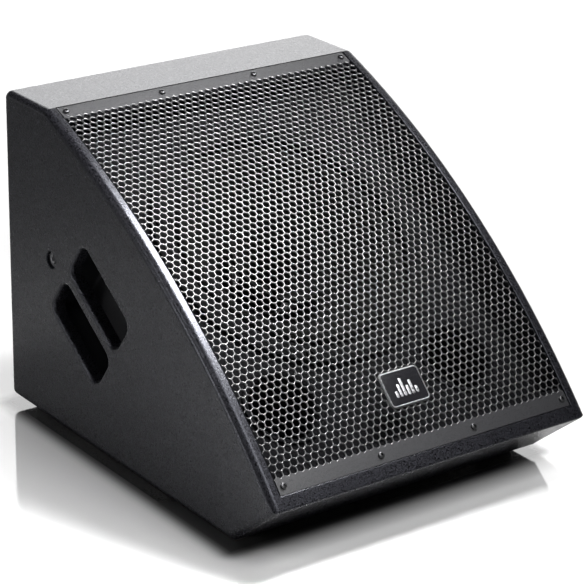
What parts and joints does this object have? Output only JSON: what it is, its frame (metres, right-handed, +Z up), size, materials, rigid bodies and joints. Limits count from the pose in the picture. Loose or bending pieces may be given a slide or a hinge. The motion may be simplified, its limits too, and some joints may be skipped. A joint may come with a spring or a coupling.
{
  "type": "stage monitor wedge",
  "caption": "Powered floor wedge loudspeaker with a bulging perforated front, a coaxial driver behind it, side handles and a recessed rear panel.",
  "frame": {"origin": "middle of the footprint, on the ground under the feet", "axes": "+Z up, the grille faces -Y, the amplifier panel faces +Y"},
  "size_m": [0.335, 0.4144, 0.3025],
  "materials": {
    "coated_plywood": "fine-grained black structure coat",
    "inner_wood": "thin matte black paint",
    "grille_steel": "satin black powder coat",
    "badge_plate": "glossy, with a silver rim",
    "black_plastic": "moulded, matte",
    "plated_steel": "zinc plated",
    "foot_rubber": "matte",
    "driver_casting": "black painted casting",
    "magnet_ferrite": "matte dark grey ferrite",
    "coil_copper": "enamelled copper wire",
    "cone_paper": "pressed black pulp",
    "treated_cloth": "doped cloth",
    "tray_steel": "matte black powder coat",
    "fin_aluminium": "black anodised",
    "knob_plastic": "soft satin",
    "led_lens": "clear green lens",
    "board_laminate": "green solder mask",
    "lead_jacket": "flexible jacket",
    "black_screw": "black zinc"
  },
  "bodies": {
    "cabinet": {"left_side_panel": "coated_plywood", "right_side_panel": "coated_plywood", "top_panel": "coated_plywood", "bottom_panel": "coated_plywood", "back_panel": "coated_plywood", "lower_front_panel": "coated_plywood", "upper_grille_batten": "inner_wood", "lower_grille_batten": "inner_wood", "baffle": "inner_wood", "grille": "grille_steel", "badge": "badge_plate", "left_handle_pocket": "black_plastic", "right_handle_pocket": "black_plastic", "left_bracket_insert": "plated_steel", "right_bracket_insert": "plated_steel", "left_port_tube": "black_plastic", "right_port_tube": "black_plastic", "woofer_gasket": "foot_rubber", "woofer_basket": "driver_casting", "woofer_top_plate": "plated_steel", "woofer_magnet": "magnet_ferrite", "woofer_pole_piece": "plated_steel", "woofer_surround": "treated_cloth", "woofer_spider": "treated_cloth", "horn": "black_plastic", "compression_driver": "driver_casting", "amp_tray": "tray_steel", "heatsink": "fin_aluminium", "input_socket": "black_plastic", "link_socket": "black_plastic", "mains_inlet": "black_plastic", "power_switch_housing": "black_plastic", "status_led": "led_lens", "amp_board": "board_laminate", "power_transformer": "coil_copper", "driver_lead": "lead_jacket", "grille_screw_1": "black_screw", "grille_screw_2": "black_screw", "grille_screw_3": "black_screw", "grille_screw_4": "black_screw", "grille_screw_5": "black_screw", "grille_screw_6": "black_screw", "grille_screw_7": "black_screw", "grille_screw_8": "black_screw", "foot_1": "foot_rubber", "foot_screw_1": "plated_steel", "foot_2": "foot_rubber", "foot_screw_2": "plated_steel", "foot_3": "foot_rubber", "foot_screw_3": "plated_steel", "foot_4": "foot_rubber", "foot_screw_4": "plated_steel"},
    "cone_assembly": {"woofer_cone": "cone_paper", "voice_coil": "coil_copper"},
    "level_knob_body": {"level_knob": "knob_plastic"},
    "bass_knob_body": {"bass_knob": "knob_plastic"},
    "treble_knob_body": {"treble_knob": "knob_plastic"},
    "rocker_body": {"power_switch_rocker": "black_plastic"},
    "preset_button_body": {"preset_button": "knob_plastic"},
    "latch_body": {"input_latch": "plated_steel"}
  },
  "joints": [
    {"name": "cone_travel", "type": "slide", "parent": "cabinet", "child": "cone_assembly", "axis": [0, -0.5782, 0.8159], "range_m": [-0.005, 0.005], "stiffness_N_per_m": 2500, "deforming": ["woofer_surround", "woofer_spider"]},
    {"name": "level_turn", "type": "hinge", "parent": "cabinet", "child": "level_knob_body", "pos_m": [0.084, 0.18525, 0.161], "axis": [0, 1, 0], "range_deg": [-150, 150]},
    {"name": "bass_turn", "type": "hinge", "parent": "cabinet", "child": "bass_knob_body", "pos_m": [0.06, 0.18525, 0.161], "axis": [0, 1, 0], "range_deg": [-150, 150]},
    {"name": "treble_turn", "type": "hinge", "parent": "cabinet", "child": "treble_knob_body", "pos_m": [0.036, 0.18525, 0.161], "axis": [0, 1, 0], "range_deg": [-150, 150]},
    {"name": "rocker_tilt", "type": "hinge", "parent": "cabinet", "child": "rocker_body", "pos_m": [0.02, 0.18625, 0.109], "axis": [1, 0, 0], "range_deg": [-18, 0]},
    {"name": "preset_press", "type": "slide", "parent": "cabinet", "child": "preset_button_body", "axis": [0, -1, 0], "range_m": [0, 0.002], "stiffness_N_per_m": 300},
    {"name": "latch_press", "type": "slide", "parent": "cabinet", "child": "latch_body", "axis": [0, -1, 0], "range_m": [0, 0.0014], "stiffness_N_per_m": 400}
  ]
}
